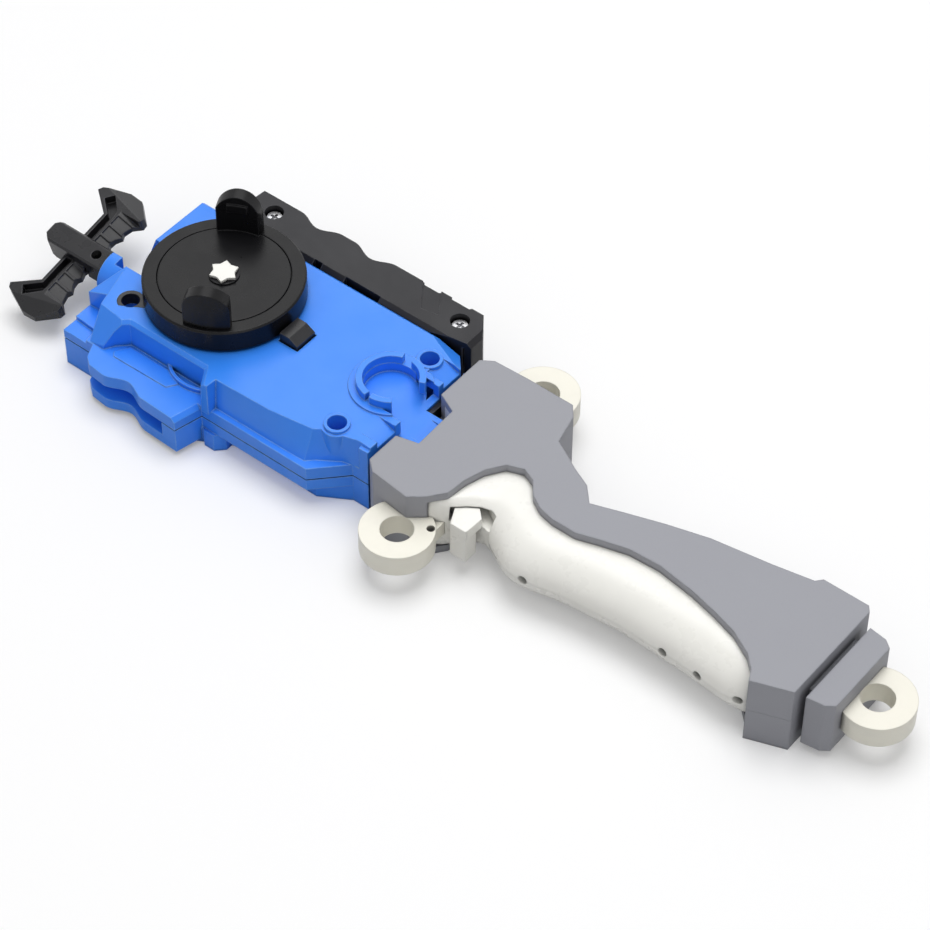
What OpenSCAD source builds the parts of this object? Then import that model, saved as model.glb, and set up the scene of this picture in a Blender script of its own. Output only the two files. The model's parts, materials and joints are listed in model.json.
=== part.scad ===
// Toy launcher for a spinning top, pulled by a string, with a removable pistol grip.
// It lies with its chuck facing up. The origin is on the base plane under the chuck's axis.
// X runs along the case towards the grip, Y across it, Z up. Near is -Y, far is +Y.

/* [Case] */
// Front of the case below the finger plate, from the chuck's axis
case_front = 29; // [27:0.5:33]
// Front edge of the deck, from the chuck's axis
deck_front = 26.4; // [25:0.2:28]
// Rear wall of the case, from the chuck's axis
case_rear = 60; // [58:0.5:66]
// Height of the deck above the base
deck_height = 20.5; // [19:0.5:24]
// Height of the seam between the two shells
seam_height = 8.5; // [8:0.1:9.5]
// Height of the finger plate's top
plate_height = 12.5; // [12:0.1:14]
// Near edge of the deck behind the finger plate
deck_near = 22.8; // [22:0.2:24]
// Near edge of the flange along the seam
flange_near = 26.2; // [25.5:0.2:27]
// Near edge of the case under the deck's front corner
front_near = 27.5; // [27:0.1:28.5]
// Near edge of the case at its rear wall
rear_near = 18.2; // [17.5:0.1:19]
// Far edge of the case
case_far = 21.6; // [21:0.1:23]
// Wall of the case
case_wall = 1.8; // [1.2:0.1:2]
// Wall of the deck
deck_wall = 2.2; // [1.6:0.1:2.4]
// Height of the inset foot of the lower shell
foot_height = 5.2; // [4.6:0.1:6]

/* [Finger plate] */
// Reach of the finger plate from the chuck's axis
plate_near = 33.9; // [32:0.1:36]
// Front end of the finger plate
plate_front = 19.2; // [18:0.2:21]
// Rear end of the finger plate
plate_rear = 13; // [12:0.2:15]
// Depth of a finger wave
wave_depth = 2.1; // [1:0.1:3]
// Length of a finger wave
wave_length = 13.2; // [11:0.2:14]
// Height of the slot between the upper and lower plates
slot_height = 4.2; // [3:0.1:4.4]
// Rear end of the slot
slot_rear = 8.6; // [6:0.2:10]
// Depth of the slot from the plate's edge
slot_depth = 8; // [5:0.5:9]

/* [String notch] */
// Near side of the notch in the deck's front
notch_near = 8.1; // [7.6:0.1:8.6]
// Far side of the notch
notch_far = 3.4; // [2:0.2:5]
// Inner end of the notch, from the chuck's axis
notch_end = 17; // [16.5:0.1:18]

/* [Chuck] */
// Diameter of the chuck
chuck_d = 40; // [38:0.5:42]
// Height of the chuck's skirt
chuck_height = 6.2; // [5:0.1:7]
// Running gap between the chuck and the deck
chuck_gap = 0.4; // [0.3:0.05:0.8]
// Height of a prong above the chuck's face
prong_height = 11; // [8:0.2:14]
// Width of a prong
prong_width = 11.6; // [9:0.2:13]
// Thickness of a prong
prong_thickness = 3.4; // [2.5:0.1:3.6]
// Place of the prongs round the axis
prong_turn = 118; // [90:1:150]
// Diameter of the spindle
spindle_d = 4; // [3.6:0.1:4.2]

/* [Gear train] */
// Module of the gears
gear_module = 1; // [0.95:0.01:1.02]
// Teeth of the pinion on the spindle
pinion_teeth = 14; // [14:1:14]
// Teeth of the idler
idler_teeth = 18; // [18:1:18]
// Teeth of the reel's gear
reel_teeth = 24; // [24:1:24]
// Thickness of the gears
gear_width = 3; // [2.5:0.1:3.2]
// Play between the teeth, along the pitch circle
backlash = 0.24; // [0.16:0.02:0.3]

/* [Reel and string] */
// Diameter of the string
string_d = 1.6; // [1.2:0.1:1.8]
// Distance of the string from the chuck's axis, on the near side
string_near = 6; // [5.8:0.1:6.4]
// Diameter of the reel's flanges
reel_d = 24.6; // [23:0.2:25]
// Diameter of the reel's drum
drum_d = 13; // [11:0.5:15]
// Width of the reel's groove
groove_width = 4; // [3.4:0.1:4.2]
// Diameter of the reel's axle
axle_d = 3; // [2.5:0.1:3.4]
// Thickness of the mainspring's strip
strip_thickness = 0.5; // [0.3:0.05:0.6]

/* [Side rail] */
// Reach of the side rail from the chuck's axis
rail_far = 33.6; // [32:0.1:36]
// Front end of the side rail
rail_front = 17; // [15:0.2:19]
// Rear end of the side rail
rail_rear = 57.4; // [56:0.2:59]
// Height of the side rail's lower edge
rail_low = 5.6; // [5:0.1:7]
// Wall of the side rail
rail_wall = 1.8; // [1.4:0.1:2.2]

/* [Handle] */
// Length of the handle's stem
stem_length = 20; // [18:0.5:24]
// Width of the stem
stem_width = 6.4; // [6:0.2:8]
// Thickness of the stem
stem_thickness = 7; // [6.4:0.2:8]
// Half of the handle's span
handle_reach = 21; // [19:0.5:24]
// Thickness of the handle's crossbar
bar_thickness = 3.8; // [3.2:0.1:4.4]
// Turn of the handle about its string at rest
handle_turn = 13; // [0:1:16]

/* [Grip] */
// Length of the grip without its end block
grip_length = 116.2; // [110:0.5:125]
// Reach of the grip's head to each side
head_reach = 23.6; // [22.8:0.1:25]
// Wall of the grip's covers
cover_wall = 2.2; // [1.8:0.1:2.4]
// Outer diameter of a lanyard loop
loop_d = 18; // [17:0.2:19]
// Hole of a lanyard loop
loop_hole = 8; // [7:0.2:9]
// Thickness of a lanyard loop
loop_thickness = 6; // [5:0.1:6.4]
// Distance of the side loops from the grip's middle line
loop_side = 27.6; // [27.2:0.1:28.5]

/* [Hidden] */
$fn = 64;

// Fits shared by the pieces
overrun = 1;
seat_gap = 0.06;
running_gap = 0.05;
moving_gap = 0.3;

// Case, worked out from its sizes
slot_low = seam_height - slot_height;
cavity_near = deck_near - 2.2 * case_wall / 1.8;
cavity_far = case_far - case_wall;
cavity_rear = case_rear - case_wall;
cavity_front = notch_end - case_wall;
cavity_top = deck_height - deck_wall;
recess_near = 21.7;
recess_bevel = 0.9;
panel_rise = 0.3;
rib_x = 7.5;
rib_y = 13.6;
rib_r = 10.5;
rib_rise = 1.2;
rib_thickness = 0.8;
rib_turns = [224, 306];
seam_groove = 0.4;
plate_foot = 1.4;
foot_post_d = 8;
far_bevel = 1.6;
bump_height = 0.83 * deck_height;
step_drop = 1.1;
plate_bevel = 1.6;
corner_share = 0.76;
corner_turn = 23;
corner_fall = 38;
recess_front = 11.6;
recess_rear = 12.4;
post_rear = 18;
wave_middle = 3.9;
flange_bend = 47.6;
rear_bend = 55.3;
boss_d = 6.8;
pilot_d = 2.3;
screw_head_d = 4;
screw_head_h = 1.6;
head_seat = 11;
access_d = 4.8;
rim_d = 6.4;
rim_rise = 0.8;
side_boss_d = 7.8;
collar_x = 50.8;
collar_y = 1.6;
collar_d = 16.8;
collar_hole = 13.4;
collar_rise = 2.9;
collar_base_rise = 0.6;
collar_turns = [[106, 262], [271, 311], [24, 84]];
pocket_depth = 2.1;
ramp_drop = 2.4;
tongue_length = 15;
tongue_near = 7;
tongue_far = 3.4;
tongue_top = 0.8 * deck_height;
tongue_thickness = 0.176 * deck_height;
tongue_notch = 1.6;
tongue_notch_x = 6.6;
tongue_notch_length = 4.8;
tongue_middle = (tongue_far - tongue_near) / 2;
tongue_arch_r = 16;
tongue_arch_share = 0.7;
tongue_hollow = 0.2 * tongue_thickness;
bush_x = 16.4;
bush_y = 16.1;
bush_d = 6.6;
bush_hole = 4.6;
bush_depth = 3.4;
bush_tail = 5.4;
case_screw_places = [[49.1, -16.2], [52.9, 13.6], [-bush_x, -bush_y], [-17.5, 16.4]];
rail_screw_places = [[-9.6, 29.2], [50.1, 28.6]];
string_height = 26 / 41 * deck_height;
column_front = 0.955 * case_rear;
peg_d = 2.6;
peg_height = 5.2;
peg_reach = 3.4;
peg_places = [-15.3, 14.6];

// Gear train, worked out from the teeth
pinion_pitch_d = gear_module * pinion_teeth;
idler_pitch_d = gear_module * idler_teeth;
reel_pitch_d = gear_module * reel_teeth;
idler_distance = (pinion_pitch_d + idler_pitch_d) / 2;
reel_distance = idler_distance + (idler_pitch_d + reel_pitch_d) / 2;
line_radius = 10.8;
reel_y = line_radius - string_near;
reel_x = sqrt(reel_distance * reel_distance - reel_y * reel_y);
train_turn = atan2(reel_y, reel_x);
idler_x = idler_distance * cos(train_turn);
idler_y = idler_distance * sin(train_turn);
pressure_angle = 20;
gear_low = 2.4;
gear_top = gear_low + gear_width;
plate_low = gear_top + 0.6 * case_wall / 1.8;
gear_plate_thickness = 1.5;
gear_plate_top = plate_low + gear_plate_thickness;
groove_low = string_height - groove_width / 2;
flange_thickness = 0.7;
cup_height = groove_low - flange_thickness - gear_top;
cup_wall = 1.1;
hub_d = 6;
pinion_bore = 8.6;
notch_width = 0.9;
pawl_thickness = 0.8;
spring_turns = 4;
bearing_d = 7.2;
bearing_flange_d = 9;

// Chuck, worked out from its sizes
chuck_low = deck_height + chuck_gap;
chuck_top = chuck_low + chuck_height;
chuck_wall = 2.6;
prong_plate_d = 0.805 * chuck_d;
chuck_web = 2;
prong_floor = 1.2;
prong_lip = 1.3;
prong_radius = prong_plate_d / 2 + prong_thickness / 2 - 0.2 * prong_thickness;

// Sensor plunger
plunger_x = 23.4;
plunger_y = -0.4;
plunger_length = 5.4;
plunger_width = 6.6;
plunger_rise = 2.6;
stem_offset = 1.5;
plunger_flange = 0.9;
plunger_stem_d = 2;

// Handle, in its own frame: X along the stem from its inner end, Y along the bar, Z up
nose_length = 3;
nose_reach = case_front + nose_length;
nose_d = 12.4;
nose_far = 0.6;
handle_slope = 1.7;
rib_depth = 0.45;
tip_bevel = 25;
stem_gap = 0.3;
stem_x = -nose_reach - stem_gap;
knot_x = -4.5;
knot_d = 2.5;
knot_hole = 2.7;
cord_hole = 1.72;

// Grip, worked out from its sizes
face_gap = 2;
grip_front = case_rear + face_gap;
grip_thickness = deck_height;
grip_middle = grip_thickness / 2;
grip_rear = grip_front + grip_length;
core_gap = 0.1;
core_top = grip_thickness - cover_wall - core_gap;
frame_thickness = 4;
loop_place = 14.5;
loop_x = grip_front + loop_place;
block_gap = 1.8;
block_front = grip_rear + block_gap;
end_loop_place = 10.5;
end_loop_x = block_front + end_loop_place;
end_loop_y = 0.8;
block_length = 6.6;
block_half = 12.6;
block_thickness = 0.78 * grip_thickness;
frame_cross = 11.2;
frame_front = loop_x - loop_d / 4;
spine_half = 4;
core_front = 0.014;
core_back = 0.979;
side_hole_d = 2.4;
side_hole_depth = 10.6;
lever_place = 20.5;
lever_x = case_rear + lever_place;
lever_y = -12.5;
lever_low = tongue_top - tongue_thickness + moving_gap;
lever_thickness = 3;
lever_reach = 12.1;
pad_length = 0.38 * lever_reach;
pad_depth = 0.32 * lever_reach;
pad_drop = 4.6;
spring_x = 6.6;
spring_y = 4.9;
spring_length = 2.8;
lever_pin_d = 2;

// Turns a table of shares into points: the first is a share of the length, the second of the width
function spread(shares, length, width) = [for (s = shares) [s[0] * length, s[1] * width]];

// Outline whose edges all stand off by a distance: outwards if it runs clockwise, else inwards
function stand_off(points, by) = let(n = len(points)) [for (i = [0:n - 1])
    let(a = points[(i + n - 1) % n], b = points[i], c = points[(i + 1) % n])
    let(u = (b - a) / norm(b - a), v = (c - b) / norm(c - b))
    b + by * [-u[1] - v[1], u[0] + v[0]] / (1 + u * v)];
function at_height(points, z) = [for (p = points) [p[0], p[1], z]];

// One finger wave, from its front end to its rear end, on an edge at the given distance
function wave(middle, edge, side) = [for (i = [0:16])
    [middle + wave_length * (i / 16 - 0.5), side * (edge - wave_depth * (1 - cos(360 * i / 16)) / 2)]];

// Round stations of an arc
function arc(x, y, r, from, to, steps) = [for (i = [0:steps])
    let(a = from + (to - from) * i / steps) [x + r * cos(a), y + r * sin(a)]];

// Involute gear outline. The first tooth lies on +X.
function roll(r, base) = r > base ? sqrt(r * r / base / base - 1) : 0;
function flank(r, base) = roll(r, base) * 180 / PI - atan(roll(r, base));
function gear_outline(teeth) =
    let(pitch = gear_module * teeth / 2)
    let(base = pitch * cos(pressure_angle))
    let(tip = pitch + 0.9 * gear_module)
    let(root = pitch - 1.15 * gear_module)
    let(half = 90 / teeth + flank(pitch, base) - backlash / pitch * 45 / PI)
    let(low = max(base, root))
    [for (i = [0:teeth - 1]) let(a = 360 * i / teeth) each concat(
        [root * [cos(a - half), sin(a - half)]],
        [for (k = [0:3]) let(r = low + (tip - low) * k / 3, b = a - half + flank(r, base)) r * [cos(b),
            sin(b)]],
        [for (k = [3:-1:0]) let(r = low + (tip - low) * k / 3, b = a + half - flank(r, base)) r * [cos(b),
            sin(b)]],
        [root * [cos(a + half), sin(a + half)]])];

// Solid through a row of outlines with as many points each, given in space
function side_faces(rows, n) = [for (i = [0:rows - 2], j = [0:n - 1]) each [
    [i * n + j, (i + 1) * n + j, (i + 1) * n + (j + 1) % n],
    [i * n + j, (i + 1) * n + (j + 1) % n, i * n + (j + 1) % n]]];
module loft(sections) {
    rows = len(sections);
    n = len(sections[0]);
    polyhedron(
        points = [for (s = sections) each s],
        faces = concat(side_faces(rows, n), [[for (j = [n - 1:-1:0]) (rows - 1) * n + j]],
            [[for (j = [0:n - 1]) j]]),
        convexity = 6);
}

module upright(x, y, low, high, d) {
    translate([x, y, low]) cylinder(d = d, h = high - low);
}

module slab(points, low, high) {
    translate([0, 0, low]) linear_extrude(high - low) polygon(points);
}

// Outlines of the case
lower_outline = [
    [-case_front, case_far - case_wall], [-case_front + case_wall, case_far],
    [case_rear - 2.4 * case_wall, case_far], [case_rear, case_far - 2.8 * case_wall],
    [case_rear, -rear_near], [rear_bend, -rear_near], [flange_bend, -flange_near],
    [plate_rear + case_wall, -flange_near], [plate_rear, -front_near], [-case_front, -front_near]];
foot_outline = [
    [-case_front + case_wall / 2, case_far - case_wall], [-case_front + case_wall, case_far - case_wall / 2],
    [case_rear - 2.4 * case_wall, case_far], [case_rear, case_far - 2.8 * case_wall],
    [case_rear, -rear_near], [rear_bend, -rear_near], [flange_bend, -deck_near],
    [post_rear + 2 * case_wall, -deck_near], [plate_rear, -front_near], [-case_front, -front_near]];
plate_outline = concat(
    [[-plate_front, -recess_near], [-plate_front, -front_near], [-plate_front + case_wall,
        -plate_near + 1.4 * case_wall],
     [-plate_front + 2.2 * case_wall, -plate_near + 0.5 * case_wall]],
    wave(-wave_middle, plate_near - 0.2 * case_wall, -1),
    [[plate_rear, -plate_near], [plate_rear + case_wall, -flange_near], [plate_rear + case_wall,
        -recess_near]]);
deck_front_outline = [
    [-deck_front + case_wall / 3, case_far], [-deck_front + case_wall / 4, -notch_near],
    [post_rear, -notch_near], [post_rear, case_far]];
deck_front_foot = [
    [-case_front, case_far], [-case_front, -notch_near], [post_rear + case_wall / 2, -notch_near],
    [post_rear + case_wall / 2, case_far]];
lobe_outline = [
    [-deck_front + 0.7 * case_wall, -notch_near], [-deck_front + 2.85 * case_wall,
        -deck_near + 0.8 * case_wall],
    [post_rear - case_wall / 2, -flange_near], [post_rear, -notch_near]];
lobe_foot = [
    [-deck_front + 0.7 * case_wall, -notch_near], [-plate_front - 0.7 * case_wall,
        -front_near + 0.2 * case_wall],
    [post_rear, -front_near + 0.2 * case_wall], [post_rear + case_wall / 2, -notch_near]];
// Bump in front of the near lobe, and the step at the near front corner, in shares of the case's
// front and near reach
bump_shares = [[-0.87, -0.3], [-0.71, -0.3], [-0.71, -0.633], [-1, -0.65]];
step_shares = [[-1.04, -0.83], [-0.76, -0.855], [-0.735, -1.04], [-1.04, -1.04]];
// Near wall behind the recess: share of the rear wall's distance, then the deck's edge and
// the wall's foot as shares of the deck's near edge
rear_wall_shares = [[0.207, 1.01, 1.08], [0.32, 1.01, 1.08], [0.56, 0.99, 1.08], [0.71, 0.93, 1.075],
    [0.76, 0.91, 1.07], [0.79, 0.85, 0.99], [0.88, 0.79, 0.83], [0.94, 0.745, 0.79], [1, 0.75, 0.79]];
deck_rear_outline = concat(
    [for (s = rear_wall_shares) [s[0] * case_rear, -s[1] * deck_near]],
    [[case_rear, case_far - 2.8 * case_wall], [case_rear - 2.4 * case_wall, case_far], [recess_rear,
        case_far]]);
recess_outline = [
    [-recess_front, -recess_near], [recess_rear, -recess_near], [recess_rear + 2 * case_wall, -front_near],
    [recess_rear + 2.2 * case_wall, -plate_near - overrun], [-recess_front - 2.8 * case_wall,
        -plate_near - overrun],
    [-recess_front - 2.6 * case_wall, -front_near], [-recess_front - 1.6 * case_wall,
        -recess_near - 1.5 * case_wall]];
// Raised panel on the finger plate, in shares of the recess's rear end and the plate's reach
panel_shares = [[-1.08, -0.773], [-0.9, -0.667], [0.26, -0.667], [0.48, -0.726], [0.355, -0.8], [-1, -0.808]];
cavity_outline = [
    [-cavity_front, -cavity_near + case_wall / 2], [post_rear, -cavity_near + case_wall / 2],
    [0.68 * case_rear, -cavity_near + case_wall / 2], [0.77 * case_rear, -cavity_near + 1.7 * case_wall],
    [cavity_rear, -rear_near + 1.4 * case_wall], [cavity_rear, case_far - 3.6 * case_wall],
    [case_rear - 3 * case_wall, cavity_far], [-cavity_front, cavity_far]];
bush_outline = concat(
    arc(-bush_x, -bush_y, bush_d / 2, 90, 250, 16),
    [[-bush_x + bush_tail, -bush_y + bush_d / 8]],
    [[-bush_x + bush_tail, -bush_y + bush_d / 2.4]]);

module sloped_block(top, foot) {
    hull() {
        slab(top, deck_height - case_wall / 4, deck_height);
        slab(foot, plate_height - case_wall / 4, plate_height);
    }
}

// Bump whose fourth corner is lower than the deck
module front_bump(p) {
    hull() {
        slab([p[0], p[1], p[2]], plate_height - case_wall, deck_height);
        slab([p[0], p[2], p[3]], plate_height - case_wall, bump_height);
    }
}

module rear_block() {
    slab(deck_rear_outline, plate_height, deck_height);
    loft([for (s = rear_wall_shares) let(x = s[0] * case_rear, inner = -rear_near + case_wall) [
        [x, inner, plate_height - case_wall], [x, inner, deck_height], [x, -s[1] * deck_near, deck_height],
        [x, -s[2] * deck_near, plate_height], [x, -s[2] * deck_near, plate_height - case_wall]]]);
}

// Sector of a ring, open round its middle, for the collar on the deck
module ring_sector(x, y, outer, inner, low, high, from, to) {
    steps = ceil((to - from) / 6);
    slab(concat(arc(x, y, outer / 2, from, to, steps), arc(x, y, inner / 2, to, from, steps)), low, high);
}

// Cut across the deck: a side view extruded along Y from the given place
module side_cut(from, width, outline) {
    translate([0, from + width, 0]) rotate([90, 0, 0]) linear_extrude(width) polygon(outline);
}

module screw_holes(low) {
    for (p = case_screw_places) {
        upright(p[0], p[1], low - overrun, head_seat + seat_gap, pilot_d + 4 * seat_gap);
        upright(p[0], p[1], head_seat - seat_gap, deck_height + overrun + collar_rise, access_d);
    }
}

// Round bar along the string's line
module nose(d, from, to) {
    translate([from, -string_near, string_height]) rotate([0, 90, 0]) cylinder(d = d, h = to - from);
}

module top_shell() color("royalblue") {
    difference() {
        union() {
            slab(lower_outline, seam_height, plate_height);
            slab(plate_outline, seam_height, plate_height);
            sloped_block(deck_front_outline, deck_front_foot);
            sloped_block(lobe_outline, lobe_foot);
            front_bump(spread(bump_shares, case_front, front_near));
            rear_block();
            nose(nose_d, -nose_reach, -deck_front + case_wall);
            // Column at the near rear corner, and the boss that stands out of the near wall
            slab([[column_front, -rear_near], [column_front, -rear_near + 2 * case_wall],
                [case_rear, -rear_near + 2 * case_wall], [case_rear, -rear_near]],
                plate_height - case_wall, deck_height - rim_rise);
            upright(case_screw_places[0][0], case_screw_places[0][1], plate_height, deck_height, side_boss_d);
            // Round base of the collar
            upright(collar_x, collar_y, deck_height - case_wall, deck_height + collar_base_rise,
                collar_d + 2 * case_wall);
        }
        // Finger recess in the near side of the deck
        slab(recess_outline, plate_height, deck_height + overrun);
        loft([at_height(recess_outline, deck_height - recess_bevel),
            at_height(stand_off(recess_outline, recess_bevel + overrun), deck_height + overrun)]);
        // Groove along the seam on the near side
        difference() {
            slab([[-case_front - overrun, -nose_d], [case_rear + overrun, -nose_d],
                [case_rear + overrun, -plate_near - overrun], [-case_front - overrun, -plate_near - overrun]],
                seam_height - overrun, seam_height + seam_groove);
            slab(stand_off(lower_outline, -seam_groove), seam_height - 2 * overrun, seam_height + overrun);
            slab(stand_off(plate_outline, seam_groove), seam_height - 2 * overrun, seam_height + overrun);
        }
        // Step at the near front corner, and the bevel at the finger plate's rear end
        slab(spread(step_shares, case_front, front_near), plate_height - step_drop, plate_height + overrun);
        translate([plate_rear, -plate_near, plate_height]) rotate([0, 0,
            -atan(case_wall / (plate_near - flange_near))])
            rotate([0, 45, 0]) translate([-plate_bevel / 2, -overrun, -plate_bevel / 2])
                cube([plate_bevel, plate_near - flange_near + overrun, plate_bevel]);
        // Bevels along the far edge of the deck and round its far rear corner
        translate([corner_share * case_rear, case_far, deck_height]) rotate([0, 0,
            -corner_turn]) rotate([-corner_fall, 0, 0])
            cube([case_rear / 3, case_rear / 6, deck_wall]);
        translate([0, case_far, deck_height]) rotate([45, 0, 0])
            cube([3 * case_rear, far_bevel, far_bevel], center = true);
        // String notch, open to the front
        slab([[-nose_reach - overrun, -notch_near], [-notch_end, -notch_near], [-notch_end, notch_far],
            [-nose_reach - overrun, notch_far]], seam_height - overrun, deck_height + overrun);
        // Inside of the shell
        difference() {
            slab(cavity_outline, seam_height - overrun, cavity_top);
            for (p = case_screw_places) upright(p[0], p[1], seam_height - 2 * overrun, deck_height, boss_d);
            upright(0, 0, string_height + string_d, deck_height, bearing_flange_d);
            upright(reel_x, reel_y, string_height + groove_width / 2 + flange_thickness + 2 * moving_gap,
                deck_height, boss_d);
            upright(collar_x, collar_y, deck_height - pocket_depth - case_wall, deck_height, collar_d);
            slab([[0.86 * case_rear, -tongue_near], [case_rear, -tongue_near], [case_rear,
                tongue_far + case_wall],
                [0.86 * case_rear, tongue_far + case_wall]], string_height + case_wall, deck_height);
        }
        // Shaft of the chuck and its bearing
        upright(0, 0, string_height, deck_height + overrun, bearing_d + 2 * seat_gap);
        upright(0, 0, deck_height - case_wall / 2, deck_height + overrun, bearing_flange_d + 2 * seat_gap);
        // Reel's axle
        upright(reel_x, reel_y, seam_height, cavity_top + seat_gap, axle_d + 2 * seat_gap);
        // String through the notch's inner wall
        translate([-notch_end - overrun, -string_near, string_height]) rotate([0, 90, 0])
            cylinder(d = string_d + 2 * moving_gap, h = case_wall + 2 * overrun);
        // Plunger's window
        translate([plunger_x - plunger_length / 2 - moving_gap, plunger_y - plunger_width / 2 - moving_gap,
            seam_height])
            cube([plunger_length + 2 * moving_gap, plunger_width + 2 * moving_gap, deck_height]);
        screw_holes(seam_height);
        slab(bush_outline_grown(), deck_height - bush_depth, deck_height + overrun);
        // Round pocket inside the collar, and the ramp from it down to the rear
        upright(collar_x, collar_y, deck_height - pocket_depth, deck_height + overrun, collar_hole);
        side_cut(collar_y - 0.57 * collar_hole, 1.07 * collar_hole, [
            [collar_x + collar_hole / 5, deck_height - pocket_depth],
            [case_rear + overrun, deck_height - ramp_drop - pocket_depth],
            [case_rear + overrun, deck_height + collar_rise], [collar_x + collar_hole / 5,
                deck_height + collar_rise]]);
        // Nothing stands out past the rear wall
        translate([case_rear, collar_y - collar_d, deck_height - 2 * case_wall]) cube([collar_d,
            2 * collar_d, 4 * case_wall]);
        // Deck falling to the rear on both sides of the ramp
        for (side = [[-rear_near + 2 * case_wall, 3.66], [collar_y + collar_d / 2, 3.4]])
            side_cut(side[0], side[1] * case_wall, [
                [case_rear - 2.8 * case_wall, deck_height], [case_rear + overrun, deck_height - ramp_drop],
                [case_rear + overrun, deck_height + collar_rise], [case_rear - 2.8 * case_wall,
                    deck_height + collar_rise]]);
    }
    // Rims round the two rear screw holes
    for (p = [case_screw_places[0], case_screw_places[1]]) difference() {
        upright(p[0], p[1], deck_height - ramp_drop - case_wall, deck_height + rim_rise, rim_d);
        upright(p[0], p[1], seam_height, deck_height + overrun, access_d);
    }
    // Raised panel and curved rib on the finger plate
    slab(spread(panel_shares, recess_rear, plate_near), plate_height - seat_gap, plate_height + panel_rise);
    ring_sector(rib_x, -rib_y, 2 * rib_r + rib_thickness, 2 * rib_r - rib_thickness, plate_height - seat_gap,
        plate_height + rib_rise, rib_turns[0], rib_turns[1]);
    // Eye in front of the notch, which the string runs through and the handle's stem stops against
    difference() {
        nose(nose_d, -nose_reach, -case_front);
        slab([[-nose_reach - overrun, -string_near + nose_far], [-case_front + overrun,
            -string_near + nose_far],
            [-case_front + overrun, nose_d], [-nose_reach - overrun, nose_d]], 0, deck_height);
        nose(string_d + 2 * moving_gap, -nose_reach - overrun, -case_front + overrun);
    }
    // Tongue that the grip slides over
    difference() {
        slab([[cavity_rear, -tongue_near], [case_rear + tongue_length - case_wall, -tongue_near],
            [case_rear + tongue_length, -tongue_near + case_wall], [case_rear + tongue_length,
                tongue_far - case_wall],
            [case_rear + tongue_length - case_wall, tongue_far], [cavity_rear, tongue_far]],
            tongue_top - tongue_thickness, tongue_top);
        translate([case_rear + tongue_notch_x, -tongue_near - overrun, 0])
            cube([tongue_notch_length, tongue_notch + overrun, deck_height]);
        // Arched hollow across the tongue
        translate([case_rear + tongue_length / 2, tongue_middle, tongue_top + tongue_arch_r - tongue_hollow])
            rotate([90, 0, 0])
                cylinder(r = tongue_arch_r, h = tongue_arch_share * (tongue_near + tongue_far), center = true);
    }
    // Collar round the pocket, in three stretches
    for (span = collar_turns)
        ring_sector(collar_x, collar_y, collar_d, collar_hole + 4 * seat_gap, deck_height - case_wall / 2,
            deck_height + collar_rise, span[0], span[1]);
}

function bush_outline_grown() = [for (p = bush_outline)
    let(d = [p[0] + bush_x - bush_tail / 4, p[1] + bush_y]) [p[0], p[1]] + seat_gap * d / norm(d)];

module peg(y, d, from, to) {
    translate([from, y, peg_height]) rotate([0, 90, 0]) cylinder(d = d, h = to - from);
}

module bottom_shell() color("royalblue") {
    difference() {
        union() {
            slab(foot_outline, 0, foot_height);
            slab(lower_outline, foot_height, seam_height);
            slab(plate_outline, plate_foot, seam_height);
            // Eight-sided foot under the flange
            translate([post_rear - case_wall / 3, -flange_near + 1.55 * case_wall, 0]) rotate([0, 0, 22.5])
                cylinder(d = foot_post_d, h = foot_height + seat_gap, $fn = 8);
            // Pegs that keep the grip's face square
            for (y = peg_places) peg(y, peg_d, case_rear - case_wall, case_rear + peg_reach);
            // Flange under the side rail, which carries its screws
            slab([[-rail_front + 2 * rail_wall, case_far - case_wall], [rail_rear - 2 * rail_wall,
                case_far - case_wall],
                [rail_rear - 3 * rail_wall, rail_far - 1.6 * rail_wall], [-rail_front + 3 * rail_wall,
                    rail_far - 1.6 * rail_wall]],
                case_wall, rail_low - seat_gap);
        }
        // Seat of the nose, which belongs to the upper shell
        nose(nose_d + 2 * seat_gap, -nose_reach, -deck_front + case_wall + seat_gap);
        // Slot under the finger plate
        translate([-plate_front, -plate_near - overrun, slot_low])
            cube([plate_front + slot_rear, slot_depth + overrun, slot_height + overrun]);
        difference() {
            slab(cavity_outline, case_wall, seam_height + overrun);
            for (p = case_screw_places) upright(p[0], p[1], 0, seam_height + 2 * overrun, boss_d);
            upright(0, 0, 0, gear_low - moving_gap, bearing_flange_d);
            upright(reel_x, reel_y, 0, gear_low - moving_gap, boss_d);
            upright(idler_x, idler_y, 0, gear_low - moving_gap, boss_d);
            for (p = gear_plate_posts) upright(p[0], p[1], 0, plate_low, boss_d - case_wall);
        }
        for (p = case_screw_places) upright(p[0], p[1], case_wall, seam_height + overrun,
            pilot_d + 2 * seat_gap);
        for (p = rail_screw_places) upright(p[0], p[1], case_wall, rail_low + overrun, pilot_d + 2 * seat_gap);
        upright(0, 0, case_wall / 2, gear_low + overrun, spindle_d + case_wall + 2 * seat_gap);
        upright(reel_x, reel_y, case_wall / 2, gear_low + overrun, axle_d + 2 * seat_gap);
        upright(idler_x, idler_y, case_wall / 2, gear_low + overrun, axle_d + 2 * seat_gap);
    }
}

// Plate over the gears, and the posts under it, in shares of the reel's distance
gear_plate_shares = [[-0.351, -0.405], [0.486, -0.486], [0.649, -0.284], [0.638, 0.027], [0.595, 0.216],
    [0.486, 0.486],
    [-0.351, 0.432]];
post_shares = [[-0.216, -0.297], [-0.216, 0.338], [0.378, -0.392], [0.351, 0.392]];
gear_plate_posts = spread(post_shares, reel_distance, reel_distance);

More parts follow.
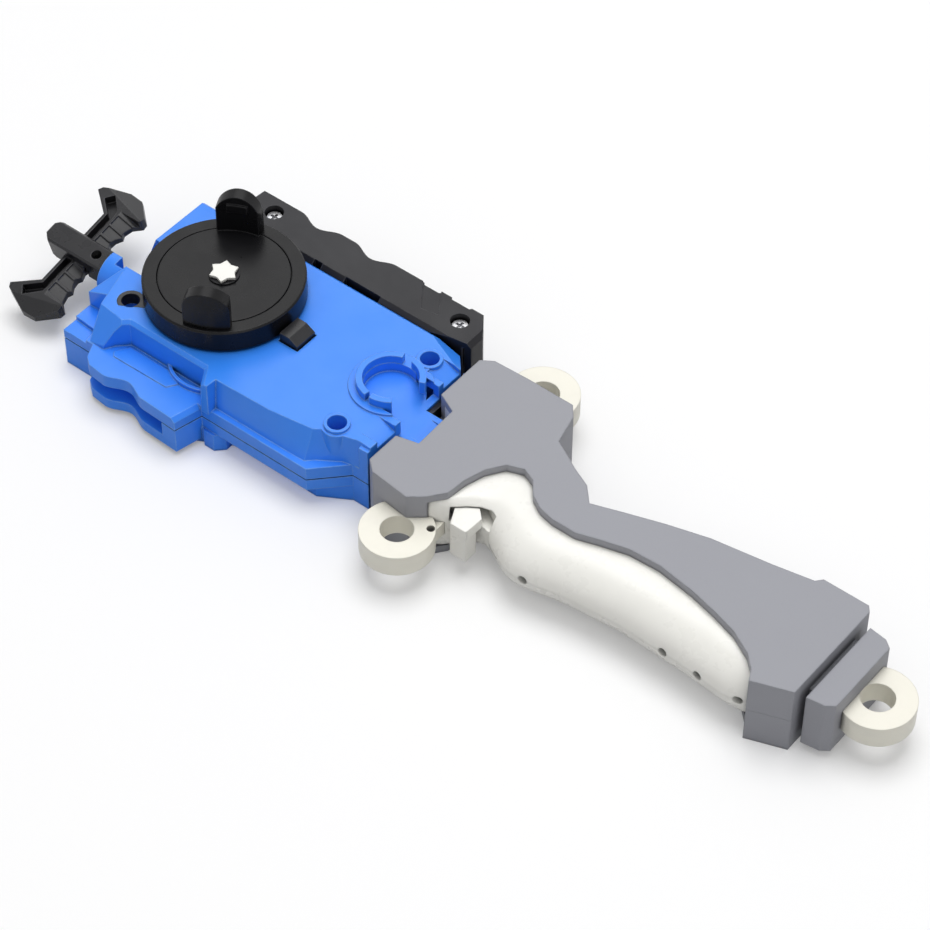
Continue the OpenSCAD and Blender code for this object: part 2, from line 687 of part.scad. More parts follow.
module gear_plate() color("ivory") {
    difference() {
        slab(spread(gear_plate_shares, reel_distance, reel_distance), plate_low, gear_plate_top);
        upright(0, 0, plate_low - overrun, gear_plate_top + overrun, spindle_d + 4 * running_gap);
        upright(idler_x, idler_y, plate_low - overrun, gear_plate_top + overrun, axle_d + 2 * seat_gap);
        upright(reel_x, reel_y, plate_low - overrun, gear_plate_top + overrun, reel_d + 3 * moving_gap);
    }
}

// Places along the side rail, in shares of its rear end and far edge: waves, edge steps, windows and band
rail_waves = [0.04, 0.34];
rail_edge_shares = [[0.61, 0], [0.618, 1 / 3], [0.697, 1 / 3], [0.706, 0], [0.76, 0], [0.768, 1 / 3],
    [0.861, 1 / 3],
    [0.869, 0]];
rail_window_shares = [[0.157, 0.045], [0.331, 0.192]];
rail_band_shares = [[0.697, 0.774], [0.599, 1.01], [0.69, 1.03], [0.779, 0.8]];

module side_rail() color("dimgray") {
    top = deck_height;
    rail_outline = concat(
        [[-rail_front, case_far + seat_gap], [-rail_front, rail_far - 2.6 * rail_wall],
            [-rail_front + rail_wall / 4, rail_far]],
        wave(rail_waves[0] * rail_rear, rail_far, 1), wave(rail_waves[1] * rail_rear, rail_far, 1),
        [for (s = rail_edge_shares) [s[0] * rail_rear, rail_far - s[1] * rail_wall]],
        [[rail_rear - 2.2 * rail_wall, rail_far], [rail_rear, rail_far - 3 * rail_wall],
         [rail_rear, case_far + 1.2 * rail_wall], [0.785 * rail_rear, case_far + seat_gap]]);
    difference() {
        slab(rail_outline, rail_low, top);
        // Open underside, round the screw posts
        difference() {
            slab([[-rail_front + rail_wall, case_far + rail_wall], [rail_rear - rail_wall,
                case_far + rail_wall],
                [rail_rear - 2 * rail_wall, rail_far - wave_depth - rail_wall],
                [-rail_front + rail_wall, rail_far - wave_depth - rail_wall]],
                rail_low - overrun, top - rail_wall);
            for (p = rail_screw_places) upright(p[0], p[1], 0, top, boss_d);
        }
        for (p = rail_screw_places) {
            upright(p[0], p[1], 0, top + overrun, pilot_d + 4 * seat_gap);
            upright(p[0], p[1], top - 2 * screw_head_h, top + overrun, screw_head_d + rail_wall / 2);
        }
        // Long bevel along the inner and rear edges of the top
        translate([0, case_far, top]) rotate([45, 0, 0])
            cube([2 * case_rear + 2 * case_front, rail_wall, rail_wall], center = true);
        translate([rail_rear, case_far, top]) rotate([0, 45, 0])
            cube([rail_wall, 2 * case_far, rail_wall], center = true);
        // Windows beside the deck
        for (w = rail_window_shares) translate([w[0] * rail_rear, case_far - overrun, top - 3.4 * rail_wall])
            cube([w[1] * rail_rear, overrun + 0.75 * rail_wall, 3.4 * rail_wall + overrun]);
        // Slanted band across the top near the rear screw
        slab(spread(rail_band_shares, rail_rear, rail_far), top - rail_wall / 5, top + overrun);
    }
}

module screw(x, y, seat, length) {
    upright(x, y, seat - length, seat, pilot_d);
    difference() {
        upright(x, y, seat, seat + screw_head_h, screw_head_d);
        for (a = [0, 90]) translate([x, y, seat + screw_head_h]) rotate([0, 0, a])
            cube([screw_head_d / 1.7, screw_head_d / 6, screw_head_h], center = true);
    }
}

module rail_screws() color("silver") {
    seat = deck_height - 2 * screw_head_h;
    for (p = rail_screw_places) screw(p[0], p[1], seat, seat - 1.4 * case_wall);
}

module case_screws() color("silver") {
    for (p = case_screw_places) screw(p[0], p[1], head_seat, head_seat - 1.4 * case_wall);
}

module deck_bush() color("black") {
    difference() {
        slab(bush_outline, deck_height - bush_depth + seat_gap, deck_height + seat_gap);
        upright(-bush_x, -bush_y, 0, deck_height + overrun, bush_hole);
    }
}

module upper_bearing() color("ivory") {
    difference() {
        union() {
            upright(0, 0, string_height + 2 * string_d, deck_height - seat_gap, bearing_d);
            upright(0, 0, deck_height - case_wall / 2 + seat_gap, deck_height - seat_gap, bearing_flange_d);
        }
        upright(0, 0, 0, deck_height + overrun, spindle_d + 2 * running_gap);
    }
}

module lower_bearing() color("ivory") {
    difference() {
        upright(0, 0, case_wall / 2 + seat_gap, gear_low - moving_gap, spindle_d + case_wall);
        upright(0, 0, case_wall, gear_low + overrun, spindle_d + 2 * running_gap);
    }
}

module reel_axle() color("silver") {
    upright(reel_x, reel_y, case_wall / 2 + seat_gap, cavity_top, axle_d);
}

module idler_axle() color("silver") {
    upright(idler_x, idler_y, case_wall / 2 + seat_gap, gear_plate_top, axle_d);
}

// Black plate on the rear wall, which the grip's face meets
module rear_plate() color("black") {
    low = case_wall;
    high = deck_height - 2.7 * case_wall;
    difference() {
        translate([case_rear + seat_gap, -rear_near + case_wall / 3, low])
            cube([0.75 * case_wall, rear_near + case_far - 0.7 * case_wall, high - low]);
        for (y = peg_places) peg(y, peg_d + 2 * seat_gap, case_rear - overrun, case_rear + 2 * case_wall);
        translate([case_rear - overrun, -tongue_near - moving_gap, tongue_top - tongue_thickness - moving_gap])
            cube([2 * case_wall, tongue_near + tongue_far + 2 * moving_gap, deck_height]);
    }
}

module spindle() color("silver") {
    upright(0, 0, case_wall + seat_gap, chuck_top - prong_floor, spindle_d);
}

module gear(x, y, turn, teeth, low, high, bore) {
    difference() {
        translate([x, y, low]) rotate([0, 0, turn]) linear_extrude(high - low) polygon(gear_outline(teeth));
        upright(x, y, low - overrun, high + overrun, bore);
    }
}

module drive_pinion() color("ivory") {
    difference() {
        gear(0, 0, train_turn + 180 / pinion_teeth, pinion_teeth, gear_low, gear_top, pinion_bore);
        // Ratchet notches round the bore
        for (i = [0:7]) rotate([0, 0, 45 * i]) translate([pinion_bore / 2, 0, gear_low + gear_width / 2])
            rotate([0, 0, 25]) cube([notch_width, 1.6 * notch_width, gear_width + 2 * overrun], center = true);
    }
}

// Hub keyed to the spindle, with three bent arms that catch in the pinion one way
module ratchet_hub() color("dimgray") {
    difference() {
        union() {
            upright(0, 0, gear_low + seat_gap, gear_top - seat_gap, hub_d);
            for (i = [0:2]) rotate([0, 0, 120 * i])
                slab(concat(arc(0, 0, pinion_bore / 2 - seat_gap, 20, 100, 8),
                    arc(0, 0, pinion_bore / 2 - pawl_thickness, 100, 20, 8)), gear_low + seat_gap,
                        gear_top - seat_gap);
            for (i = [0:2]) rotate([0, 0, 120 * i + 24])
                translate([hub_d / 2 - pawl_thickness / 2, -pawl_thickness / 2, gear_low + seat_gap])
                    cube([pinion_bore / 2 - hub_d / 2, pawl_thickness, gear_width - 2 * seat_gap]);
        }
        upright(0, 0, 0, deck_height, spindle_d + 2 * seat_gap);
    }
}

module idler_gear() color("ivory") {
    gear(idler_x, idler_y, train_turn + 180 + (idler_teeth % 2) * 180 / idler_teeth, idler_teeth, gear_low,
        gear_top,
        axle_d + 2 * running_gap);
}

module reel_gear() color("ivory") {
    gear(reel_x, reel_y, train_turn + 180 + 180 / reel_teeth, reel_teeth, gear_low, gear_top,
        axle_d + 2 * running_gap);
}

// Reel: a cup for the mainspring below, a groove for the string above
module string_reel() color("ivory") {
    groove_top = groove_low + groove_width;
    translate([reel_x, reel_y, 0]) rotate_extrude() polygon([
        [axle_d / 2 + running_gap, groove_low - flange_thickness], [reel_d / 2 - cup_wall,
            groove_low - flange_thickness],
        [reel_d / 2 - cup_wall, gear_top + seat_gap], [reel_d / 2, gear_top + seat_gap], [reel_d / 2,
            groove_low],
        [drum_d / 2, groove_low], [drum_d / 2, groove_top], [reel_d / 2, groove_top],
        [reel_d / 2, groove_top + flange_thickness], [axle_d / 2 + running_gap,
            groove_top + flange_thickness]]);
}

module wound_string() color("whitesmoke") {
    translate([reel_x, reel_y, 0]) rotate_extrude() polygon([
        [drum_d / 2 + seat_gap, groove_low + seat_gap], [line_radius - string_d / 2 - seat_gap,
            groove_low + seat_gap],
        [line_radius - string_d / 2 - seat_gap, groove_low + groove_width - seat_gap],
        [drum_d / 2 + seat_gap, groove_low + groove_width - seat_gap]]);
}

// Flat spiral strip inside the reel's cup
module mainspring() color("silver") {
    first = axle_d / 2 + moving_gap;
    last = reel_d / 2 - cup_wall - moving_gap - strip_thickness;
    steps = 18 * spring_turns;
    inner = [for (i = [0:steps]) let(a = 360 * spring_turns * i / steps, r = first + (last - first) * i / steps)
        r * [cos(a), sin(a)]];
    outer = [for (i = [steps:-1:0]) let(a = 360 * spring_turns * i / steps,
        r = first + (last - first) * i / steps + strip_thickness)
        r * [cos(a), sin(a)]];
    translate([reel_x, reel_y, gear_top + moving_gap]) linear_extrude(cup_height - 2 * moving_gap)
        polygon(concat(inner, outer));
}

module chuck_ring() color("black") {
    inner = prong_plate_d / 2 + moving_gap;
    rotate_extrude($fn = 96) polygon([
        [spindle_d / 2 + seat_gap, chuck_low], [chuck_d / 2 - chuck_gap, chuck_low], [chuck_d / 2,
            chuck_low + chuck_gap],
        [chuck_d / 2, chuck_top - chuck_gap], [chuck_d / 2 - chuck_gap, chuck_top], [inner, chuck_top],
        [inner, chuck_top - prong_floor - moving_gap], [inner - chuck_wall,
            chuck_top - prong_floor - moving_gap],
        [inner - chuck_wall, chuck_low + chuck_web], [hub_d, chuck_low + chuck_web],
        [hub_d, chuck_top - prong_floor - seat_gap], [spindle_d / 2 + seat_gap,
            chuck_top - prong_floor - seat_gap]]);
}

// One prong: a curved wall with a hooked, rounded top, which stands over the plate's rim
module prong() {
    width_turn = asin(prong_width / 2 / prong_radius);
    ring_sector(0, 0, prong_plate_d - 4 * seat_gap, 2 * prong_radius - prong_thickness,
        chuck_top - prong_floor / 2,
        chuck_top + chuck_gap, -width_turn, width_turn);
    intersection() {
        ring_sector(0, 0, 2 * prong_radius + prong_thickness, 2 * prong_radius - prong_thickness,
            chuck_top + seat_gap, chuck_top + prong_height, -width_turn, width_turn);
        translate([0, 0, chuck_top + prong_height - prong_width / 2]) rotate([0, 90, 0])
            linear_extrude(chuck_d) union() {
                circle(d = prong_width);
                translate([0, -prong_width / 2]) square([prong_height + prong_width, prong_width]);
            }
    }
    // Lip on the inner face, which the top's edge catches under
    ring_sector(0, 0, 2 * prong_radius - prong_thickness / 2, 2 * prong_radius - prong_thickness - prong_lip,
        chuck_top + 0.6 * prong_height, chuck_top + 0.8 * prong_height, -width_turn / 2, width_turn / 2);
}

module prong_plate() color("black") {
    difference() {
        union() {
            upright(0, 0, chuck_top - prong_floor, chuck_top, prong_plate_d);
            for (a = [0, 180]) rotate([0, 0, prong_turn + a]) prong();
        }
        upright(0, 0, 0, 2 * deck_height, hub_d + 2 * seat_gap);
    }
}

module spindle_collar() color("black") {
    difference() {
        union() {
            upright(0, 0, chuck_top - prong_floor + seat_gap, chuck_top + chuck_gap, hub_d);
            upright(0, 0, chuck_top + seat_gap, chuck_top + chuck_gap, 1.27 * hub_d);
        }
        upright(0, 0, 0, 2 * deck_height, spindle_d + 2 * seat_gap);
    }
}

module spindle_cap() color("whitesmoke") {
    star = [for (i = [0:11]) let(r = i % 2 == 0 ? 0.62 * hub_d : 0.44 * hub_d) r * [cos(30 * i), sin(30 * i)]];
    upright(0, 0, chuck_top - prong_floor + seat_gap, chuck_top + chuck_gap + seat_gap, spindle_d);
    slab(star, chuck_top + chuck_gap + seat_gap, chuck_top + 3 * chuck_gap);
}

module sensor_plunger() color("black") {
    low = cavity_top - moving_gap - plunger_flange;
    translate([plunger_x, plunger_y, 0]) {
        difference() {
            translate([-plunger_length / 2, -plunger_width / 2, low])
                cube([plunger_length, plunger_width, deck_height + plunger_rise - low]);
            // Sloped top, low towards the rear
            translate([plunger_length / 2, 0, deck_height + plunger_rise]) rotate([0, 30, 0])
                cube([plunger_length, 2 * plunger_width, plunger_rise], center = true);
            // Clear of the turning chuck
            translate([-plunger_x, -plunger_y, deck_height])
                cylinder(d = chuck_d + 2 * moving_gap, h = plunger_rise + overrun);
        }
        translate([-plunger_length / 2 - plunger_flange, -plunger_width / 2 + moving_gap, low])
            cube([plunger_length + 2 * plunger_flange, plunger_width - 2 * moving_gap, plunger_flange]);
        upright(-stem_offset, 0, low - plunger_rise, low + seat_gap, plunger_stem_d);
    }
}

// Coil round the plunger's stem, on the plate over the gears
module plunger_spring() color("silver") {
    low = gear_plate_top + seat_gap;
    high = cavity_top - moving_gap - plunger_flange - seat_gap;
    difference() {
        upright(plunger_x - stem_offset, plunger_y, low, high, 2 * plunger_stem_d);
        upright(plunger_x - stem_offset, plunger_y, low - overrun, high + overrun,
            plunger_stem_d + 2 * moving_gap);
    }
}

module along_string(from, to, d) {
    translate([from, -string_near, string_height]) rotate([0, 90, 0]) cylinder(d = d, h = to - from);
}

module pull_string() color("whitesmoke") {
    along_string(stem_x + knot_x + knot_d / 2 + seat_gap, reel_x, string_d);
}

module at_handle() {
    translate([stem_x, -string_near, string_height]) rotate([handle_turn, 0, 0]) children();
}

module cord_knot() color("whitesmoke") {
    at_handle() translate([knot_x, 0, 0]) for (side = [90, -90]) rotate([0, side, 0])
        cylinder(d1 = knot_d - 2 * seat_gap, d2 = 0.4 * knot_d, h = 0.4 * knot_d);
}

module handle_stem() color("black") {
    half = stem_width / 2;
    low = -stem_thickness / 2;
    at_handle() difference() {
        slab([[-stem_length + half / 2, -half], [0, -half], [0, half], [-stem_length + half / 2, half],
            [-stem_length, half / 2], [-stem_length, -half / 2]], low, low + stem_thickness);
        // Rounded lower outer end
        translate([-stem_length, 0, low]) rotate([0, 45, 0])
            cube([stem_thickness / 2, 2 * stem_width, stem_thickness / 2], center = true);
        // Bevels along the top
        for (s = [-1, 1]) translate([-stem_length / 2, s * half, -low]) rotate([45, 0, 0])
            cube([2 * stem_length, half / 4, half / 4], center = true);
        // Knot's hole from above, and the cord's bore from the inner end
        upright(knot_x, 0, -knot_d / 2, stem_thickness, knot_hole);
        translate([knot_x, 0, 0]) rotate([0, 90, 0]) cylinder(d = cord_hole, h = stem_length);
        // Slot for the crossbar
        translate([-0.68 * stem_length - seat_gap, -stem_width, low - overrun])
            cube([0.36 * stem_length + 2 * seat_gap, 2 * stem_width, overrun + bar_thickness + seat_gap]);
    }
}

// Plan of the far half of the crossbar, in shares of the stem's length and the handle's reach
bar_shares = [[-0.675, 0], [-0.675, 0.565], [-0.99, 0.8], [-0.955, 0.86], [-0.63, 1], [-0.44, 0.99], [-0.2,
    0.79],
    [-0.19, 0.72], [-0.3, 0.63], [-0.33, 0.52], [-0.3, 0.46], [-0.35, 0.38], [-0.36, 0.3], [-0.33, 0.25],
        [-0.36, 0.17], [-0.325, 0]];
channel_shares = [[-0.635, 0.155], [-0.635, 0.59], [-0.83, 0.745], [-0.74, 0.85], [-0.55, 0.68], [-0.535,
    0.6], [-0.535, 0.155]];

// Tiles of the finger face: two ends as shares of the reach, and how deep it is cut
finger_tile_shares = [[0.16, 0.7, 0], [0.18, 0.31, 1], [0.34, 0.47, 1], [0.5, 0.64, 1]];

module bar_half() {
    low = -stem_thickness / 2;
    high = low + bar_thickness;
    difference() {
        slab(spread(bar_shares, stem_length, handle_reach), low, high);
        slab(spread(channel_shares, stem_length, handle_reach), low + bar_thickness / 3, high + overrun);
        // Finger face sloped down to the inner edge, with three ribs left across it
        for (t = finger_tile_shares) translate([0, t[1] * handle_reach, 0]) rotate([90, 0, 0])
            linear_extrude((t[1] - t[0]) * handle_reach) polygon([
                [-0.5 * stem_length, high - t[2] * rib_depth], [-0.16 * stem_length,
                    high - 2 * handle_slope - t[2] * rib_depth],
                [-0.16 * stem_length, high + overrun], [-0.5 * stem_length, high + overrun]]);
        // Outer part of the wing falls to its tip
        translate([-0.6 * stem_length, 0.82 * handle_reach, high]) rotate([-tip_bevel, 0, -14])
            translate([-stem_length, 0, 0]) cube([2 * stem_length, handle_reach, bar_thickness]);
    }
}

module handle_crossbar() color("black") {
    at_handle() {
        bar_half();
        mirror([0, 1, 0]) bar_half();
    }
}

// Grip: distances along it are shares of its length, reaches are shares of its head's reach
cover_near_shares = [[0, 0.84], [0.026, 0.95], [0.12, 1], [0.15, 0.88], [0.178, 0.7], [0.183, 0.47],
    [0.197, 0.24],
    [0.222, 0.055], [0.258, -0.01], [0.288, 0.05], [0.313, 0.205], [0.345, 0.297], [0.38, 0.335], [0.438,
        0.335],
    [0.482, 0.263], [0.546, 0.174], [0.617, 0.157], [0.706, 0.22], [0.766, 0.29], [0.824, 0.373], [0.876, 0.51],
    [0.903, 0.64], [0.916, 0.77], [1, 0.62]];
cover_far_shares = [[0, 0.9], [0.026, 0.985], [0.117, 1], [0.226, 0.995], [0.247, 0.87], [0.264, 0.52],
    [0.294, 0.44],
    [0.336, 0.326], [0.381, 0.225], [0.413, 0.055], [0.48, 0.17], [0.563, 0.305], [0.653, 0.428], [0.786, 0.53],
    [0.873, 0.614], [0.885, 0.682], [0.99, 0.682], [1, 0.62]];
core_near_shares = [[0, 0.75], [0.02, 0.86], [0.12, 0.9], [0.17, 0.84], [0.2, 0.72], [0.235, 0.62], [0.265,
    0.62],
    [0.3, 0.73], [0.345, 0.85], [0.385, 0.845], [0.465, 0.755], [0.6, 0.695], [0.75, 0.715], [0.87, 0.765],
    [0.905, 0.72], [0.93, 0.62], [1, 0.55]];
core_far_shares = [[0, 0.82], [0.026, 0.9], [0.117, 0.92], [0.215, 0.91], [0.23, 0.8], [0.25, 0.43],
    [0.294, 0.355],
    [0.336, 0.24], [0.381, 0.14], [0.413, -0.03], [0.48, 0.08], [0.563, 0.22], [0.653, 0.345], [0.786, 0.45],
    [0.873, 0.53], [0.9, 0.6], [0.99, 0.6], [1, 0.55]];
side_hole_shares = [0.387, 0.71, 0.796, 0.891];
screw_shares = [[0.056, -0.636], [0.056, 0.657], [0.336, -0.297], [0.843, 0.042]];
core_round_shares = [[0, 0.04], [0.15, 0.05], [0.2, 0.2], [0.26, 0.34], [0.36, 0.44], [0.86, 0.42], [0.9, 0.3],
    [0.93, 0.06], [1, 0.05]];

// Table read a little before and after a place, so that its corners turn round
function soft(table, s) = (lookup(s - 0.02, table) + lookup(s - 0.01, table) + 2 * lookup(s, table)
    + lookup(s + 0.01, table) + lookup(s + 0.02, table)) / 6;

function core_near(s) = -head_reach * soft(core_near_shares, s);
function core_far(s) = head_reach * lookup(s, core_far_shares);
core_stations = [for (i = [0:44]) core_front + (core_back - core_front) * i / 44];

function core_section(s) =
    let(x = grip_front + grip_length * s, near = core_near(s), far = core_far(s),
        round = head_reach * soft(core_round_shares, s))
    concat([[x, far, grip_middle], [x, far, core_top]],
        [for (k = [0:7]) let(a = 90 * k / 7)
            [x, near + round * (1 - sin(a)), grip_middle + (core_top - grip_middle) * cos(a)]]);

// Place of a station of the core, with its two ends grown outwards
function core_x(s, grow) = grip_front + grip_length * s + (s == core_front ? -grow : 0)
    + (s == core_back ? grow : 0);

module core_pocket_outline(grow) {
    polygon(concat(
        [for (s = core_stations) [core_x(s, grow), core_near(s) - grow]],
        [for (i = [len(core_stations) - 1:-1:0]) let(s = core_stations[i])
            [core_x(s, grow), core_far(s) + grow]]));
}

grip_screw_places = [for (s = screw_shares) [grip_front + s[0] * grip_length, s[1] * head_reach]];
cover_outline = concat(
    [for (s = cover_near_shares) [grip_front + s[0] * grip_length, -s[1] * head_reach]],
    [for (i = [len(cover_far_shares) - 1:-1:0]) let(s = cover_far_shares[i])
        [grip_front + s[0] * grip_length, s[1] * head_reach]]);

// Room for the loops and their frame inside the core and through the covers
module frame_shape(grow) {
    loop_low = grip_middle - loop_thickness / 2 - grow;
    loop_high = grip_middle + loop_thickness / 2 + grow;
    frame_low = grip_middle - frame_thickness / 2 - grow;
    frame_high = grip_middle + frame_thickness / 2 + grow;
    for (s = [-1, 1]) upright(loop_x, s * loop_side, loop_low, loop_high, loop_d + 2 * grow);
    upright(end_loop_x, end_loop_y, loop_low, loop_high, loop_d + 2 * grow);
    translate([frame_front - grow, -loop_side + loop_hole / 2 + overrun, frame_low])
        cube([frame_cross + 2 * grow, 2 * loop_side - loop_hole - 2 * overrun, frame_high - frame_low]);
    bend = grip_front + 0.325 * grip_length;
    swell = grip_front + 0.54 * grip_length;
    slab([[frame_front, -spine_half - grow], [bend, -3.2 * spine_half - grow], [swell, -2 * spine_half - grow],
        [end_loop_x - loop_hole, end_loop_y - spine_half - grow], [end_loop_x - loop_hole,
            end_loop_y + spine_half + grow],
        [swell, grow], [bend, -1.2 * spine_half + grow], [frame_front, spine_half + grow]],
        frame_low, frame_high);
}

module grip_frame() color("ivory") {
    difference() {
        frame_shape(0);
        for (s = [-1, 1]) {
            upright(loop_x, s * loop_side, 0, deck_height, loop_hole);
            upright(loop_x + loop_d / 3, s * (loop_side - loop_d / 3.6), 0, deck_height, loop_hole / 4);
        }
        upright(end_loop_x, end_loop_y, 0, deck_height, loop_hole);
        upright(end_loop_x - loop_d / 3.6, end_loop_y - loop_d / 3.4, 0, deck_height, loop_hole / 4);
        for (p = grip_screw_places) upright(p[0], p[1], 0, deck_height, pilot_d + 6 * seat_gap);
        upright(lever_x, lever_y, 0, deck_height, lever_pin_d + 2 * seat_gap);
    }
}

// Socket for the launcher's tongue
module tongue_socket() {
    translate([grip_front - overrun, -tongue_near - moving_gap, tongue_top - tongue_thickness - moving_gap])
        cube([case_rear + tongue_length + moving_gap - grip_front + overrun,
            tongue_near + tongue_far + 2 * moving_gap,
            tongue_thickness + 2 * moving_gap]);
}

// Plan of the lever from its pin, in shares of its reach: hook, arm and thumb pad
lever_shares = [[-1, 0.55], [-1, 0.13], [-0.82, -0.04], [-0.2, -0.25], [0.3, -0.25], [0.48, -0.62], [0.88,
    -0.62],
    [0.9, -0.2], [0.5, 0.18], [0, 0.25], [-0.5, 0.18], [-0.78, 0.25], [-0.78, 0.55]];
lever_room_shares = [[-1.16, 0.62], [-1.16, 0.14], [-1.08, -0.14], [-0.34, -0.35], [0.25, -0.35], [0.43, -0.8],
    [1.09, -0.8], [1.09, 0], [0.54, 0.35], [-0.34, 0.33], [-0.7, 0.42], [-0.7, 0.62]];
module release_lever() color("whitesmoke") {
    difference() {
        translate([lever_x, lever_y, 0]) {
            slab(spread(lever_shares, lever_reach, lever_reach), lever_low, lever_low + lever_thickness);
            // Thumb pad on the near side
            translate([0.49 * lever_reach, -0.66 * lever_reach, grip_middle - pad_drop])
                cube([pad_length, pad_depth, lever_low + lever_thickness - grip_middle + pad_drop]);
        }
        upright(lever_x, lever_y, 0, deck_height, lever_pin_d + 2 * running_gap);
    }
}

module lever_room() {
    grow = 1.2 * moving_gap;
    translate([lever_x, lever_y, 0]) {
        slab(spread(lever_room_shares, lever_reach, lever_reach), lever_low - grow,
            lever_low + lever_thickness + grow);
        translate([0.43 * lever_reach, -0.8 * lever_reach, grip_middle - pad_drop - grow])
            cube([0.66 * lever_reach, 0.62 * lever_reach, lever_low - grip_middle + pad_drop + grow]);
    }
}

// Round seat of the lever's spring, from the core's wall to the lever's arm
module spring_pocket(d, grow) {
    translate([lever_x - spring_x, lever_y - spring_y - grow,
        lever_low + lever_thickness / 2]) rotate([-90, 0, 0])
        cylinder(d = d, h = spring_length + grow);
}

module lever_pin() color("silver") {
    upright(lever_x, lever_y, lever_low - 2 * lever_pin_d, core_top - lever_pin_d / 2, lever_pin_d);
}

module lever_spring() color("silver") {
    spring_pocket(lever_thickness - 2 * moving_gap, 0);
}

module side_holes() {
    for (s = side_hole_shares) translate([grip_front + s * grip_length, -head_reach,
        grip_middle]) rotate([-90, 0, 0])
        cylinder(d = side_hole_d, h = side_hole_depth);
}

module grip_core_half() {
    loft([for (s = core_stations) core_section(s)]);
}

module grip_core_upper() color("whitesmoke") {
    difference() {
        grip_core_half();
        frame_shape(seat_gap);
        tongue_socket();
        lever_room();
        spring_pocket(lever_thickness, seat_gap);
        upright(lever_x, lever_y, 0, core_top - lever_pin_d / 2 + seat_gap, lever_pin_d + 2 * seat_gap);
        for (p = grip_screw_places) upright(p[0], p[1], 0, core_top - cover_wall, pilot_d + 2 * seat_gap);
        notch_over_tongue();
        side_holes();
    }
}

module grip_core_lower() color("whitesmoke") {
    difference() {
        translate([0, 0, 2 * grip_middle]) mirror([0, 0, 1]) grip_core_half();
        frame_shape(seat_gap);
        lever_room();
        upright(lever_x, lever_y, lever_low - 2 * lever_pin_d - seat_gap, deck_height,
            lever_pin_d + 2 * seat_gap);
        for (p = grip_screw_places) {
            upright(p[0], p[1], 0, deck_height, pilot_d + 6 * seat_gap);
            upright(p[0], p[1], 0, cover_wall + 2 * screw_head_h, access_d + seat_gap);
        }
        side_holes();
    }
}

module grip_screws() color("silver") {
    for (p = grip_screw_places) translate([0, 0, 2 * grip_middle]) mirror([0, 0, 1])
        screw(p[0], p[1], 2 * grip_middle - cover_wall - 2 * screw_head_h,
            2 * grip_middle - 3.2 * cover_wall - 2 * screw_head_h);
}

// Upper cover: a plate with walls down to the grip's middle
module cover_half() {
    difference() {
        slab(cover_outline, grip_middle, grip_thickness);
        translate([0, 0, grip_middle - overrun]) linear_extrude(core_top + core_gap - grip_middle + overrun)
            core_pocket_outline(core_gap);
        frame_shape(seat_gap);
        // Neck of the end block
        translate([grip_rear - cover_wall - overrun, end_loop_y - block_half / 1.4 - seat_gap,
            grip_middle - block_thickness / 3 - seat_gap])
            cube([cover_wall + 2 * overrun, block_half / 0.7 + 2 * seat_gap,
                block_thickness / 1.5 + 2 * seat_gap]);
        lever_room();
    }
}

// Notch in the grip's face, which shows the tongue
module notch_over_tongue() {
    slab([[grip_front - overrun, -tongue_near - 2 * case_wall], [grip_front + 0.8 * case_wall,
        -tongue_near - 1.6 * case_wall],
        [grip_front + 3.2 * case_wall, -tongue_near - case_wall], [grip_front + 3 * case_wall,
            tongue_far + 0.4 * case_wall],
        [grip_front + 0.5 * case_wall, tongue_far + 1.6 * case_wall], [grip_front - overrun,
            tongue_far + 2 * case_wall]],
        tongue_top - tongue_thickness, grip_thickness + overrun);
}

module grip_cover_upper() color("slategray") {
    difference() {
        cover_half();
        tongue_socket();
        notch_over_tongue();
    }
}

module grip_cover_lower() color("slategray") {
    difference() {
        translate([0, 0, 2 * grip_middle]) mirror([0, 0, 1]) cover_half();
        for (p = grip_screw_places) upright(p[0], p[1], -overrun, deck_height, access_d + seat_gap);
        for (y = peg_places) peg(y, peg_d + moving_gap, case_rear, case_rear + peg_reach + moving_gap);
    }
}

module grip_end_block() color("slategray") {
    low = grip_middle - block_thickness / 2;
    difference() {
        union() {
            slab([[block_front, -block_half], [block_front + 0.7 * block_length,
                -block_half + 0.05 * block_half],
                [block_front + block_length, -0.83 * block_half], [block_front + block_length,
                    0.83 * block_half],
                [block_front + 0.7 * block_length, block_half - 0.05 * block_half], [block_front, block_half]],
                low, low + block_thickness);
            translate([grip_rear - cover_wall + seat_gap, end_loop_y - block_half / 1.4,
                grip_middle - block_thickness / 3])
                cube([block_front - grip_rear + cover_wall, block_half / 0.7, block_thickness / 1.5]);
        }
        frame_shape(seat_gap);
    }
}

top_shell();
bottom_shell();
side_rail();
rail_screws();
case_screws();
deck_bush();
upper_bearing();
lower_bearing();
gear_plate();
reel_axle();
idler_axle();
rear_plate();
spindle();
drive_pinion();
ratchet_hub();
chuck_ring();
prong_plate();
spindle_collar();
spindle_cap();
idler_gear();
reel_gear();
string_reel();
wound_string();
mainspring();
sensor_plunger();
plunger_spring();
pull_string();
cord_knot();
handle_stem();
handle_crossbar();
grip_core_upper();
grip_core_lower();
grip_cover_upper();
grip_cover_lower();
grip_frame();
grip_end_block();
grip_screws();
release_lever();
lever_pin();
lever_spring();
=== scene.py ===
import json
import math
import bpy
from mathutils import Matrix, Vector


